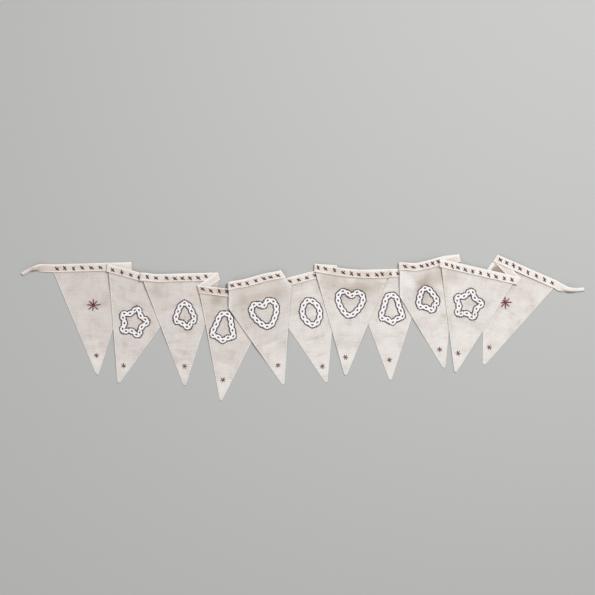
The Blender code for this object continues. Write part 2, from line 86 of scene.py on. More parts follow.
# what each layer lies on: the tape between two pennants is their back, a turned corner a flap
liesOn = {f"tape{number}": [f"pennant{number}"] for number in pennants}
liesOn.update({
    "pennant1": [], "back1": ["tape1"],
    "pennant2": ["back1"], "back2": ["tape2"],
    "pennant3": ["back2"], "back3": ["tape3"],
    "pennant4": ["back3"], "back4": ["tape4"], "flap4r": ["back4"], "flap5l": ["back4"],
    "pennant6": [], "back5": ["tape6"], "back5b": ["tape6"], "flap5r": ["back5", "back5b"],
    "pennant5": ["flap4r", "flap5l", "flap5r"],
    "pennant8": [], "back6": ["tape6"], "back7": ["tape8"], "pennant7": ["back6", "back7"],
    "back8": ["tape8"], "flap9l": ["back8"], "pennant9": ["flap9l"], "back9": ["tape9"],
    "flap11l": [], "pennant11": ["flap11l"], "back10": ["pennant11"], "tape11": ["pennant11", "back10"],
    "pennant10": ["back9", "back10"],
})


def axesOf(number):
    turn = math.radians(pennants[number][2])
    return Vector((math.cos(turn), -math.sin(turn))), Vector((-math.sin(turn), -math.cos(turn)))


def within(value, low=0.0, high=1.0):
    return max(low, min(high, value))


def bump(away, wide):
    # 1 at 0 and soon nothing beyond the width
    return math.exp(-(away / wide) ** 2)


def pairsRound(points):
    return zip(points, points[1:] + points[:1])


def fadeOut(share):
    t = within(share)
    return 1 - t * t * (3 - 2 * t)


def place(number, u, v):
    # u along the top edge, v down from the tape's lower edge
    tipX, tipY, _, wide, deep, lean, sag = pennants[number]
    along, down = axesOf(number)
    top = Vector((tipX, tipY)) - down * deep - along * lean
    share = within(u / wide + 0.5)
    drop = sag * math.sin(math.pi * share)
    for side, nudge in zip((-1, 1), nudges.get(number, ())):
        drop += nudge * fadeOut((tapeEnd(number, side) - u) * side / cloth["nudgeFade"])
    return top + along * u + down * (v + drop * within(1 - v / cloth["sagFade"]))


def onPennant(number, point):
    # the reverse of place, without the sag
    tipX, tipY, _, _, deep, lean, _ = pennants[number]
    along, down = axesOf(number)
    offset = point - (Vector((tipX, tipY)) - down * deep - along * lean)
    return offset.dot(along), offset.dot(down)


def fromPhoto(x, y):
    scale = photo["perPixel"]
    return Vector(((x - photo["acrossZero"]) * scale, (photo["downZero"] - y) * scale))


def cornerOf(number, side):
    for name, (pennant, _, cornerSide) in corners.items():
        if pennant == number and cornerSide == side:
            return name
    return None


def tapeEnd(number, side):
    name = cornerOf(number, side)
    if name:
        return corners[name][1]
    return side * (pennants[number][3] / 2 + reach[number][0 if side < 0 else 1])


def makeFold(point, headingIn, headingOut):
    # the line that the tape is folded along, and which way the fold points
    out = (headingIn - headingOut).normalized()
    line = out if headingIn.dot(headingOut) > 0 else Vector((-out.y, out.x))
    if line.y < 0:
        line = -line
    slant = abs(headingIn.x * line.y - headingIn.y * line.x)
    return {"middle": point, "line": line, "out": out, "stretch": 1 / slant}


def foldPoint(fold, across):
    return fold["middle"] + fold["line"] * (across * fold["stretch"])


folds = {}
for number in range(1, 11):
    tapeMiddle = -cloth["tapeWide"] / 2
    points = [place(number, tapeEnd(number, 1), tapeMiddle)]
    points += [Vector(p) for p in turns.get(number, [])]
    points.append(place(number + 1, tapeEnd(number + 1, -1), tapeMiddle))
    headings = [axesOf(number)[0]] + [(b - a).normalized() for a, b in zip(points, points[1:])]
    headings.append(axesOf(number + 1)[0])
    folds[number] = [makeFold(p, headings[i], headings[i + 1]) for i, p in enumerate(points)]


def creaseAt(name, v):
    number, at, side = corners[name]
    along, down = axesOf(number)
    fold = folds[number][0] if side > 0 else folds[number - 1][-1]
    return at + fold["line"].dot(along) / fold["line"].dot(down) * (v + cloth["tapeWide"] / 2)


def sideAt(number, side, v):
    _, _, _, wide, deep, lean, _ = pennants[number]
    return side * wide / 2 + (lean + side * (cloth["tipHalf"] - wide / 2)) * max(0.0, v) / deep


def creaseEnd(name):
    # where a corner's crease meets the pennant's side, found by halving
    number, _, side = corners[name]
    low, high = 0.0, pennants[number][4]
    for _ in range(40):
        v = (low + high) / 2
        if (sideAt(number, side, v) - creaseAt(name, v)) * side > 0:
            low = v
        else:
            high = v
    return (low + high) / 2


def pennantOutline(number):
    _, _, _, wide, deep, lean, _ = pennants[number]
    top = -cloth["tapeWide"]
    line = []
    for side in (-1, 1):
        name = cornerOf(number, side)
        if name:
            end = creaseEnd(name)
            edge = [(creaseAt(name, top), top), (creaseAt(name, end), end)]
        else:
            edge = [(side * wide / 2, top), (side * wide / 2, 0.0)]
        edge.append((lean + side * cloth["tipHalf"], deep))
        line += edge if side < 0 else edge[::-1]
    return [place(number, u, v) for u, v in line]


def flapOutline(name):
    number, _, side = corners[name]
    top, end, half = -cloth["tapeWide"], creaseEnd(name), side * pennants[number][3] / 2
    start, stop = place(number, creaseAt(name, top), top), place(number, creaseAt(name, end), end)
    along = (stop - start).normalized()
    outer = []
    for point in (place(number, half, 0.0), place(number, half, top)):
        offset = point - start
        outer.append(start + along * (2 * offset.dot(along)) - offset)
    return [start, stop] + outer


def layerOutlines():
    # every layer's edges in plan, each as a point and the way out of the layer
    half = cloth["tapeWide"] / 2
    shapes = {f"pennant{n}": pennantOutline(n) for n in pennants}
    shapes.update({name: flapOutline(name) for name in corners})
    for number in pennants:
        left, right, top = tapeEnd(number, -1), tapeEnd(number, 1), -cloth["tapeWide"]
        ring = ((left, 0), (right, 0), (right, top), (left, top))
        shapes[f"tape{number}"] = [place(number, u, v) for u, v in ring]
    for number, some in folds.items():
        for name, first, last in zip((f"back{number}", f"back{number}b"), some, some[1:]):
            ring = ((first, -half), (first, half), (last, half), (last, -half))
            shapes[name] = [foldPoint(fold, across) for fold, across in ring]
    edges = {}
    for name, shape in shapes.items():
        if sum(a.x * b.y - b.x * a.y for a, b in pairsRound(shape)) < 0:
            shape = shape[::-1]
        edges[name] = []
        for a, b in pairsRound(shape):
            edge = (b - a).normalized()
            edges[name].append((a.x, a.y, edge.y, -edge.x))
    return edges


layerEdges = layerOutlines()


def shareOn(name, x, y):
    # 1 on a layer, falling to 0 where the cloth over its edge reaches the ground
    away = max((x - ax) * nx + (y - ay) * ny for ax, ay, nx, ny in layerEdges[name])
    return fadeOut((away - cloth["clear"]) / cloth["ramp"])


def floorOf(name, x, y):
    # the height of a layer's lower side
    rise = cloth["thick"] + cloth["sewnGap" if name.startswith("tape") else "looseGap"]
    best = 0.0
    for below in liesOn[name]:
        share = shareOn(below, x, y)
        best = max(best, floorOf(below, x, y) + rise * share)
    return best


def toFrame(x, y, z):
    # from the row's millimetres to the frame's metres
    return ((x - middle[0]) * mm, (y - middle[1]) * mm, z * mm)


print("layers ready")

clothGloss = {"sheenRoughness": 0.5, "specular": 0.25}


def shaderOf(material):
    return material.node_tree.nodes["Principled BSDF"]


def newMaterial(name, color, roughness, sheen=0.0):
    material = bpy.data.materials.new(name)
    material.use_nodes = True
    shader = shaderOf(material)
    shader.inputs["Base Color"].default_value = (*color, 1)
    shader.inputs["Roughness"].default_value = roughness
    shader.inputs["Sheen Weight"].default_value = sheen
    shader.inputs["Sheen Roughness"].default_value = clothGloss["sheenRoughness"]
    shader.inputs["Specular IOR Level"].default_value = clothGloss["specular"]
    material.diffuse_color = (*color, 1)
    return material


def addNode(tree, kind, inputs=(), **settings):
    # a value that comes from another node is linked, any other is set
    node = tree.nodes.new(kind)
    for key, value in settings.items():
        setattr(node, key, value)
    for key, value in dict(inputs).items():
        if isinstance(value, bpy.types.NodeSocket):
            tree.links.new(value, node.inputs[key])
        else:
            node.inputs[key].default_value = value
    return node


def mathNode(tree, operation, a, b=0.0):
    return addNode(tree, "ShaderNodeMath", {0: a, 1: b}, operation=operation).outputs[0]


def mixNode(tree, share, a, b):
    return addNode(tree, "ShaderNodeMix", {0: share, 6: a, 7: b}, data_type="RGBA").outputs[2]


def rampNode(tree, value, positions, colors):
    node = addNode(tree, "ShaderNodeValToRGB", {"Fac": value})
    elements = node.color_ramp.elements
    for element, i in ((elements[0], 0), (elements[1], -1)):
        element.position, element.color = positions[i], (*colors[i], 1)
    for position, color in zip(positions[1:-1], colors[1:-1]):
        elements.new(position).color = (*color, 1)
    return node.outputs["Color"]


def bumpNode(tree, height, strength, distance, under=None):
    inputs = {"Strength": strength, "Distance": distance, "Height": height}
    if under:
        inputs["Normal"] = under
    return addNode(tree, "ShaderNodeBump", inputs).outputs["Normal"]


def useInShader(material, color, normal):
    links, shader = material.node_tree.links, shaderOf(material)
    links.new(color, shader.inputs["Base Color"])
    links.new(normal, shader.inputs["Normal"])


linenLook = {
    "light": (0.870, 0.830, 0.795), "middle": (0.800, 0.752, 0.716), "dark": (0.670, 0.605, 0.550),
    "stops": (0.38, 0.49, 0.60),
    # the browner colour serves the linen's own tone and painted shade, the paler one painted highlight
    "brownAndShade": (0.42, 0.335, 0.26), "paleAndHighlight": (0.93, 0.90, 0.86),
    # broad unevenness, then slubs that run along and down the cloth: stretch, detail, roughness, share
    "flecks": [((38.0, 38.0), 4.0, 0.6, 0.5), ((30.0, 420.0), 5.0, 0.65, 0.31),
               ((360.0, 26.0), 5.0, 0.65, 0.19)],
    "thread": 0.00075,  # from one thread to the next
    "roughness": 0.92, "sheen": 0.12,
    "weaveBump": (0.75, 0.00016), "fleckBump": (0.9, 0.00088),
}
tapeLook = {
    "light": (0.95, 0.92, 0.885), "middle": (0.91, 0.86, 0.81), "dark": (0.83, 0.75, 0.68),
    "stops": (0.36, 0.5, 0.62),
    # the browner colour serves the tape's own tone and painted shade, the paler one painted highlight
    "brownAndShade": (0.56, 0.415, 0.335), "paleAndHighlight": (0.97, 0.955, 0.93),
    "flecks": [((60.0, 240.0), 4.0, 0.5, 0.5), ((22.0, 22.0), 3.0, 0.5, 0.5)],
    "thread": 0.0009,
    "roughness": 0.88, "sheen": 0.15,
    "weaveBump": (0.7, 0.00018), "fleckBump": (0.6, 0.0006),
}


def makeCloth(name, look):
    material = newMaterial(name, look["middle"], look["roughness"], look["sheen"])
    tree, level = material.node_tree, 0.0
    uv = addNode(tree, "ShaderNodeUVMap", uv_map="clothMap").outputs["UV"]
    for stretch, detail, roughness, share in look["flecks"]:
        mapped = addNode(tree, "ShaderNodeMapping", {"Vector": uv, "Scale": (*stretch, 1.0)})
        fleck = addNode(tree, "ShaderNodeTexNoise", {"Vector": mapped.outputs["Vector"], "Scale": 1.0,
                                                     "Detail": detail, "Roughness": roughness})
        level = mathNode(tree, "ADD", mathNode(tree, "MULTIPLY", fleck.outputs["Fac"], share), level)
    color = rampNode(tree, level, look["stops"], (look["dark"], look["middle"], look["light"]))
    # the shade attribute: 0 keeps the colour, above it browner, for the cloth's own tone and for painted shade,
    # below it paler, mostly for painted highlights
    tint = addNode(tree, "ShaderNodeAttribute", attribute_name="shade").outputs["Fac"]
    brownAndShade = mathNode(tree, "MAXIMUM", tint, 0.0)
    paleAndHighlight = mathNode(tree, "MAXIMUM", mathNode(tree, "MULTIPLY", tint, -1.0), 0.0)
    color = mixNode(tree, brownAndShade, color, (*look["brownAndShade"], 1))
    color = mixNode(tree, paleAndHighlight, color, (*look["paleAndHighlight"], 1))
    # plain weave: warp and weft waves, each thread over and under the other
    split = addNode(tree, "ShaderNodeSeparateXYZ", {"Vector": uv})
    waves = []
    for axis in ("X", "Y"):
        turned = mathNode(tree, "MULTIPLY", split.outputs[axis], 2 * math.pi / look["thread"])
        waves.append(mathNode(tree, "SINE", turned))
    weave = bumpNode(tree, mathNode(tree, "MULTIPLY", *waves), *look["weaveBump"])
    useInShader(material, color, bumpNode(tree, level, *look["fleckBump"], weave))
    return material


threadLook = {"fleck": 420.0, "stops": (0.35, 0.68), "uneven": 3.0, "twistBump": (0.6, 0.0002)}
# dark, light, roughness, sheen, twist
threads = {
    "whiteBraid": ((0.90, 0.885, 0.91), (0.99, 0.985, 0.985), 0.75, 0.2, 700.0),
    "brownOutline": ((0.055, 0.026, 0.032), (0.155, 0.082, 0.092), 0.8, 0.1, 500.0),
    "brownCross": ((0.055, 0.020, 0.018), (0.140, 0.052, 0.048), 0.78, 0.1, 500.0),
    "burgundyStar": ((0.100, 0.012, 0.020), (0.250, 0.034, 0.048), 0.72, 0.1, 500.0),
}


def makeThread(name, dark, light, roughness, sheen, twist):
    # spun thread: fine twist bands and uneven dye
    look = threadLook
    material = newMaterial(name, light, roughness, sheen)
    tree = material.node_tree
    spot = addNode(tree, "ShaderNodeTexCoord").outputs["Object"]
    fleck = addNode(tree, "ShaderNodeTexNoise", {"Vector": spot, "Scale": look["fleck"], "Detail": 3.0})
    color = rampNode(tree, fleck.outputs["Fac"], look["stops"], (dark, light))
    bands = addNode(tree, "ShaderNodeTexWave", {"Vector": spot, "Scale": twist, "Distortion": look["uneven"],
                                                "Detail": 2.0}, bands_direction="DIAGONAL")
    useInShader(material, color, bumpNode(tree, bands.outputs["Fac"], *look["twistBump"]))
    return material


linen = makeCloth("oatmealLinen", linenLook)
tapeCotton = makeCloth("creamCotton", tapeLook)
braidCotton, outlineThread, crossThread, starThread = (makeThread(name, *threads[name]) for name in threads)
print("materials ready")


def addToScene(name, data):
    thing = bpy.data.objects.new(name, data)
    bpy.context.scene.collection.objects.link(thing)
    return thing


def finishPiece(name, bm, material):
    mesh = bpy.data.meshes.new(name)
    bm.to_mesh(mesh)
    bm.free()
    for polygon in mesh.polygons:
        polygon.use_smooth = True
    mesh.materials.append(material)
    piece = addToScene(name, mesh)
    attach(piece, "root")
    return piece


def finishSheet(name, bm, material, thick):
    bmesh.ops.recalc_face_normals(bm, faces=bm.faces[:])
    piece = finishPiece(name, bm, material)
    body = piece.modifiers.new("Body", "SOLIDIFY")
    body.thickness, body.offset, body.use_even_offset = thick * mm, 0.0, False
    return piece


def finishThread(name, bm, material):
    # threads are made in the row's millimetres
    bmesh.ops.scale(bm, vec=(mm, mm, mm), verts=bm.verts[:])
    bmesh.ops.translate(bm, vec=(-middle[0] * mm, -middle[1] * mm, 0), verts=bm.verts[:])
    bmesh.ops.recalc_face_normals(bm, faces=bm.faces[:])
    return finishPiece(name, bm, material)


def startGrid(columns, rows, low, high):
    bm = bmesh.new()
    bmesh.ops.create_grid(bm, x_segments=columns, y_segments=rows, size=0.5)
    for vert in bm.verts:
        vert.co.x = low[0] + (vert.co.x + 0.5) * (high[0] - low[0])
        vert.co.y = low[1] + (vert.co.y + 0.5) * (high[1] - low[1])
    return bm


def clothLayers(bm, spotOf):
    # where each corner lies in the weave, and a layer for the shade: the cloth's own tint with painted shade
    # and painted highlights
    clothMap = bm.loops.layers.uv.new("clothMap")
    shade = bm.verts.layers.float.new("shade")
    for face in bm.faces:
        for loop in face.loops:
            u, v = spotOf(loop.vert.co)
            loop[clothMap].uv = (u * mm, v * mm)
    return shade


def cutLine(bm, point, direction, dropRight=False):
    # an edge loop along a line of the flat cloth; dropRight also cuts away what lies beyond it
    normal = Vector((-direction[1], direction[0], 0)).normalized()
    geom = bm.verts[:] + bm.edges[:] + bm.faces[:]
    bmesh.ops.bisect_plane(bm, geom=geom, plane_co=(point[0], point[1], 0), plane_no=normal,
                           clear_inner=dropRight, dist=1e-4)


pennantSheet = {
    "step": 2.3, "merge": 0.12,  # cells of the visible cloth, and the nearest that two corners may be
    "thick": 0.8,
    "tipRound": [(1.0, 2.4), (0.55, 0.5), (0.0, 0.0)],  # half widths and heights of the blunt tip
    "hemFrom": -2.0, "hemWide": 2.9, "hemGroove": 0.18, "grooveWide": 0.9, "hemCuts": (1.0, 2.1, 3.8),
    "puff": 0.10, "puffWide": 1.8,  # the turned edge stands a little proud
    "detailFrom": 0.5, "wrinkle": 0.18,
    "wrinkles": [(0.045, 0.045, 3.7, 1.0), (0.16, 0.12, 5.1, 0.4)],  # scale across, down, seed, share
    "creaseWobble": 0.66, "creaseWaves": 7, "creaseEnds": 0.04,
    "edgeCalm": 0.35, "edgeReach": 6,  # how much of its wrinkles the cloth keeps at its edge, and how far in
    "lowest": -0.08, "highest": 0.55,  # so that no wrinkle meets the floor or the next layer
    "bendSteps": 8, "bendCalm": 8,  # a turned corner's bend, and how far from it the cloth lies smooth
    "mapStep": (170, 90),  # so that no two pennants are cut from the same place in the weave
    # along the edge, browner above 0, paler below: a painted shadow line at the rim, a painted highlight on the
    # turned edge and painted shade in the seam's groove: amount, distance from the edge, width
    "shadeFrom": -1.0, "edgeShades": [(0.95, 0.0, 0.8), (-0.60, 1.2, 0.9), (0.22, 2.9, 0.8)],
    "tapeShade": (0.40, 2.2),  # shadow side of the tape's lower edge
    # creaseShade: painted shade on one side of each soft crease and painted light on the other, as from a lamp
    # above
    "creaseShade": 1.1, "creaseNear": 1.5, "patchFall": 1.4,
    "tints": {1: 0.17, 2: 0.17, 3: 0.15, 4: 0.16, 5: 0.12, 6: 0.03, 7: 0.02, 9: 0.03},
    "creaseHighlight": {4: 0.3, 5: 0.35, 9: 0.5, 11: 1.6}, "cornerWide": 4.0,  # painted highlight along a turned corner's rounded crease; on pennant 11 it also stands for the white tape along the crease
}
# soft creases drawn on each pennant: from (u, v), to (u, v), height, width
softCreases = {
    1: [((-36, 70), (34, 62), 0.3, 7), ((-20, 120), (22, 126), 0.25, 6)],
    2: [((-50, 40), (20, 55), 0.35, 7), ((-40, 95), (10, 88), 0.25, 6)],
    3: [((-40, 52), (42, 44), 0.4, 6), ((-30, 96), (26, 90), 0.35, 6), ((-20, 128), (16, 132), 0.3, 5)],
    4: [((-20, 30), (48, 22), -0.4, 9), ((-24, 118), (18, 122), 0.3, 6)],
    5: [((-30, 20), (30, 12), -0.3, 9), ((-26, 112), (22, 106), 0.3, 6)],
    6: [((-44, 58), (38, 50), 0.4, 6), ((-28, 104), (24, 110), 0.3, 6), ((-14, 140), (14, 136), 0.25, 5)],
    7: [((-40, 18), (44, 12), -0.5, 10), ((-24, 110), (20, 116), 0.3, 6)],
    8: [((-40, 76), (30, 84), 0.4, 6), ((-26, 116), (18, 108), 0.35, 6), ((-12, 146), (12, 150), 0.25, 5)],
    9: [((-14, 6), (34, 60), -0.6, 9), ((-20, 120), (18, 112), 0.3, 6)],
    10: [((-36, 84), (24, 92), 0.3, 6), ((-16, 130), (14, 126), 0.25, 5)],
    11: [((-16, 18), (-4, 52), 0.9, 7), ((-8, 96), (24, 84), 0.3, 6)],
}
# browner or, below 0, paler patches on each pennant, mostly painted shade on cloth that slopes away from the
# lamp and in the hollow under pennant 11's turned corner, and painted light on cloth that faces the lamp: u, v,
# radius, amount
lightAndShadePatches = {
    1: [(-30, 30, 30, 0.12), (20, 60, 30, 0.14), (-58, 34, 14, -0.22), (0, 168, 30, -0.3)],
    2: [(50, 12, 24, 0.16), (-20, 60, 24, 0.1), (0, 168, 30, -0.34)],
    3: [(46, 14, 26, 0.16), (-36, 26, 24, 0.14), (10, 90, 22, 0.1), (-46, 16, 12, 0.28),
        (0, 168, 30, -0.26)],
    4: [(2, 10, 26, 0.34), (-30, 40, 24, 0.16), (-34, 9, 13, 0.48), (0, 168, 30, -0.42)],
    5: [(-6, 10, 34, 0.26), (34, 26, 20, 0.42), (-30, 60, 22, 0.16), (14, 84, 20, 0.12), (-31, 20, 14, 0.3),
        (0, 168, 34, -0.44)],
    6: [(44, 18, 20, 0.24), (-10, 40, 26, 0.12), (0, 160, 34, -0.34)],
    7: [(-34, 12, 24, 0.42), (24, 18, 30, 0.52), (-6, 46, 20, 0.16), (-3, 28, 14, 0.3),
        (4, 160, 30, -0.34)],
    8: [(-34, 34, 22, 0.22), (26, 30, 24, 0.18), (0, 162, 30, -0.4)],
    9: [(6, 22, 20, 0.66), (-8, 48, 18, 0.46), (34, 16, 18, 0.3), (-30, 22, 15, -0.4), (-8, 30, 12, 0.2),
        (-19, 11, 9, 0.2), (2, 160, 32, -0.3)],
    10: [(-40, 10, 16, 0.3), (24, 40, 26, 0.12), (0, 152, 36, -0.36)],
    11: [(-14, 20, 18, 0.42), (20, 26, 30, 0.14), (-2, 60, 12, 0.2), (-40, 13, 10, 1.4), (-30, 10, 8, 1.2),
         (-21, 9, 7, 0.9), (-12, 52, 18, 0.24), (4, 150, 34, -0.3)],
}


def edgeDistance(number, u, v):
    # how far inside the pennant's own edges, negative outside
    _, _, _, wide, deep, lean, _ = pennants[number]
    reaches = [v + cloth["tapeWide"], deep - v]
    for side in (-1, 1):
        slope = (lean + side * (cloth["tipHalf"] - wide / 2)) / deep
        reaches.append(side * (sideAt(number, side, v) - u) / math.hypot(1, slope if v > 0 else 0))
    return min(reaches)


def creaseHeight(number, u, v):
    look, height = pennantSheet, 0.0
    for start, stop, tall, wide in softCreases[number]:
        a, b, p = Vector(start), Vector(stop), Vector((u, v))
        run = b - a
        share = within((p - a).dot(run) / run.length_squared)
        wobble = look["creaseWobble"] * math.sin(share * look["creaseWaves"] + number)
        away = (p - (a + run * share)).length + wobble
        ends = math.sin(math.pi * within(share, look["creaseEnds"], 1 - look["creaseEnds"]))
        height += tall * ends * bump(away, wide)
    return height


def surfaceDetail(number, u, v):
    look = pennantSheet
    inside = edgeDistance(number, u, v)
    height = creaseHeight(number, u, v)
    for across, down, seed, share in look["wrinkles"]:
        height += share * look["wrinkle"] * noise.noise(Vector((u * across, v * down, number * seed)))
    if v > look["hemFrom"]:
        groove = bump(inside - look["hemWide"], look["grooveWide"])
        height += look["puff"] * bump(inside, look["puffWide"]) - look["hemGroove"] * groove
    fade = within((inside + 0.5) / look["edgeReach"])
    height *= look["edgeCalm"] + (1 - look["edgeCalm"]) * fade
    return within(height, look["lowest"], look["highest"])


def shadeAt(number, u, v):
    look = pennantSheet
    shade = look["tints"].get(number, 0.0)
    # patches of painted shade and painted light
    for atU, atV, radius, amount in lightAndShadePatches[number]:
        away = math.hypot(u - atU, v - atV) / radius
        shade += amount * math.exp(-away * away * look["patchFall"])
    # painted shade and light across each soft crease, as from a lamp above
    near = look["creaseNear"]
    shade += look["creaseShade"] * (creaseHeight(number, u, v + near) - creaseHeight(number, u, v - near))
    if v > look["shadeFrom"]:
        inside = edgeDistance(number, u, v)
        # painted shadow line at the rim, painted highlight on the turned edge, painted shade in the seam's
        # groove
        for amount, at, wide in look["edgeShades"]:
            shade += amount * bump(inside - at, wide)
        amount, wide = look["tapeShade"]
        shade += amount * bump(max(0.0, v), wide)
    return shade


def bentPoint(number, u, v, bends):
    # where a point of the flat cloth lies: its place, its height, and how much detail it keeps
    spot = place(number, u, v)
    for name, start, outward in bends:
        beyond = (spot - start).dot(outward)
        if beyond <= 1e-6:
            continue
        crease = spot - outward * beyond
        main = floorOf(f"pennant{number}", crease.x, crease.y)
        turned = floorOf(name, crease.x, crease.y)
        if beyond > cloth["crease"]:
            flat = crease - outward * (beyond - cloth["crease"])
            return flat, floorOf(name, flat.x, flat.y), 0.0
        angle = math.pi * beyond / cloth["crease"]
        radius = abs(main - turned) / 2
        height = (main + turned) / 2 + (main - turned) / 2 * math.cos(angle)
        return crease + outward * (radius * math.sin(angle)), height, 0.0
    calm = 1.0
    for _, start, outward in bends:
        calm = min(calm, max(0.0, (start - spot).dot(outward)) / pennantSheet["bendCalm"])
    return spot, floorOf(f"pennant{number}", spot.x, spot.y), calm


def makePennant(number):
    _, _, _, wide, deep, lean, _ = pennants[number]
    look, tipHalf, top = pennantSheet, cloth["tipHalf"], -cloth["tapeWide"]
    columns, rows = round(wide / look["step"]), round((deep - top) / look["step"])
    bm = startGrid(columns, rows, (-wide / 2, top), (wide / 2, deep))
    right = [(wide / 2, 0.0)] + [(lean + tipHalf * share, deep - up) for share, up in look["tipRound"]]
    left = [(2 * lean - u, v) for u, v in right[::-1][:-1]] + [(-wide / 2, 0.0)]
    for line in (right, left):
        for a, b in zip(line, line[1:]):
            cutLine(bm, a, (b[0] - a[0], b[1] - a[1]), dropRight=True)
    for side in (-1, 1):
        run = Vector((lean + side * (tipHalf - wide / 2), deep))
        inward = Vector((-run.y, run.x)).normalized() * side
        for inset in look["hemCuts"]:
            cutLine(bm, Vector((side * wide / 2, 0)) + inward * inset, run)
    bends = []
    for name, (pennant, _, side) in corners.items():
        if pennant != number:
            continue
        end = creaseEnd(name)
        high, low = (creaseAt(name, top), top), (creaseAt(name, end), end)
        start, stop = place(number, *high), place(number, *low)
        along = (stop - start).normalized()
        bends.append((name, start, Vector((-along.y, along.x)) * side))
        slant = math.cos(math.atan2(low[0] - high[0], low[1] - high[1]))
        for step in range(look["bendSteps"] + 1):
            shift = side * cloth["crease"] * step / look["bendSteps"] / slant
            cutLine(bm, (high[0] + shift, high[1]), (low[0] - high[0], low[1] - high[1]))
    bmesh.ops.remove_doubles(bm, verts=bm.verts[:], dist=look["merge"])
    across, down = look["mapStep"]
    shade = clothLayers(bm, lambda co: (co.x + number * across, co.y + number * down))
    for vert in bm.verts:
        u, v = vert.co.x, vert.co.y
        spot, height, calm = bentPoint(number, u, v, bends)
        vert[shade] = shadeAt(number, u, v)
        # painted highlight along each turned corner's rounded crease
        for _, start, outward in bends:
            inside = (start - place(number, u, v)).dot(outward)
            if inside > -1:
                vert[shade] -= look["creaseHighlight"][number] * bump(inside, look["cornerWide"])
        detail = surfaceDetail(number, u, v) * calm if v > look["detailFrom"] else 0.0
        vert.co = toFrame(spot.x, spot.y, height + cloth["thick"] / 2 + detail)
    piece = finishSheet(f"linen{number:02d}", bm, linen, look["thick"])
    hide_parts(f"pennant_{number:02d}")
    return piece


linens = {number: makePennant(number) for number in pennants}
print("pennants ready")


tapeStrip = {
    "step": 2.4, "thick": 0.8,
    "columns": 14, "foldSteps": 8, "endSteps": 4,
    "overrun": 3, "foldClear": 0.8, "fewestSteps": 3,
    "topRoll": 0.5, "topWide": 2.3,  # the upper edge is rolled, the lower only woven thicker
    "lowRoll": 0.3, "lowWide": 1.3,
    "endNarrow": 0.14,  # how much narrower the twisted ends are
    "endBend": 2.3, "fullRoll": 170, "leastRoll": 0.01,
    "ripple": 0.16, "rippleScale": (0.06, 0.08, 4.0),
    # how pink-beige the middle is on each pennant: partly the tape's own pinkish tone, partly painted shade
    # below the rolled top edge
    "tints": {1: 0.48, 2: 0.42, 3: 0.42, 4: 0.84, 5: 0.36, 6: 0.32, 7: 0.54, 8: 0.22, 9: 0.36, 10: 0.06,
              11: 0.16},
    # the left end's value adds painted shade where its upper half rolls over
    "backTint": 0.34, "leftEndTintAndShade": 0.90, "rightTint": 0.06,
    "tintBlend": 4,
    "uneven": (0.75, 0.7), "unevenScale": (0.035, 0.05, 7.0),
    # painted highlights along the rolled upper edge and along the lower edge
    "topHighlight": 1.2, "lowEdgeHighlight": 0.85,
}
acrossTape = [cloth["tapeWide"] * (i / tapeStrip["columns"] - 0.5) for i in range(tapeStrip["columns"] + 1)]


def lyingSection(points, name):
    return [(p.x, p.y, floorOf(name, p.x, p.y) + cloth["thick"] / 2) for p in points]


def foldSections(fold, before, after):
    # half a turn round the fold, from the lower layer to the upper one or back
    sections, steps = [], tapeStrip["foldSteps"]
    for step in range(steps + 1):
        angle = math.pi * step / steps
        section = []
        for across in acrossTape:
            point = foldPoint(fold, across)
            low, high = floorOf(before, point.x, point.y), floorOf(after, point.x, point.y)
            spot = point + fold["out"] * (abs(high - low) / 2 * math.sin(angle))
            height = (low + high) / 2 - (high - low) / 2 * math.cos(angle)
            section.append((spot.x, spot.y, height + cloth["thick"] / 2))
        sections.append(section)
    return sections


def clearOf(points, fold):
    if fold is None:
        return True
    reaches = [(p - foldPoint(fold, a)).dot(-fold["out"]) for p, a in zip(points, acrossTape)]
    return min(reaches) > tapeStrip["foldClear"]


def sewnSections(number, first, last):
    look, half = tapeStrip, pennants[number][3] / 2
    low = tapeEnd(number, -1) - look["overrun"] if first else -half
    high = tapeEnd(number, 1) + look["overrun"] if last else half
    count = round((high - low) / look["step"])
    sections = []
    for i in range(count + 1):
        u = low + (high - low) * i / count
        points = [place(number, u, -cloth["tapeWide"] / 2 - across) for across in acrossTape]
        if clearOf(points, first) and clearOf(points, last):
            sections.append(lyingSection(points, f"tape{number}"))
    return sections


def backSections(name, first, last):
    long = (last["middle"] - first["middle"]).length
    steps = max(tapeStrip["fewestSteps"], round(long / tapeStrip["step"]))
    sections = []
    for step in range(1, steps):
        share = step / steps
        points = [foldPoint(first, a).lerp(foldPoint(last, a), share) for a in acrossTape]
        sections.append(lyingSection(points, name))
    return sections


def endSection(x, y, headingDegrees, rollDegrees, lift, name):
    look, profile = tapeStrip, []
    heading, roll = math.radians(headingDegrees), math.radians(max(rollDegrees, look["leastRoll"]))
    across, bend = Vector((-math.sin(heading), math.cos(heading))), look["endBend"]
    for a in acrossTape:
        # the lower half is tucked under the upper one, which stays smooth on top
        if a >= bend / 2:
            profile.append((a, 0.0))
        else:
            angle = roll * min(1.0, (bend / 2 - a) / bend)
            radius = bend / roll
            rest = max(0.0, -bend / 2 - a)
            profile.append((bend / 2 - radius * math.sin(angle) - rest * math.cos(roll),
                            -radius * (1 - math.cos(angle)) - rest * math.sin(roll)))
    narrow = 1 - look["endNarrow"] * min(1.0, rollDegrees / look["fullRoll"]) ** 2
    profile = [(s * narrow, rise) for s, rise in profile]
    shift = -(min(s for s, _ in profile) + max(s for s, _ in profile)) / 2
    base = floorOf(name, x, y) + cloth["thick"] / 2 + lift - min(rise for _, rise in profile)
    return [(x + across.x * (s + shift), y + across.y * (s + shift), base + rise) for s, rise in profile]


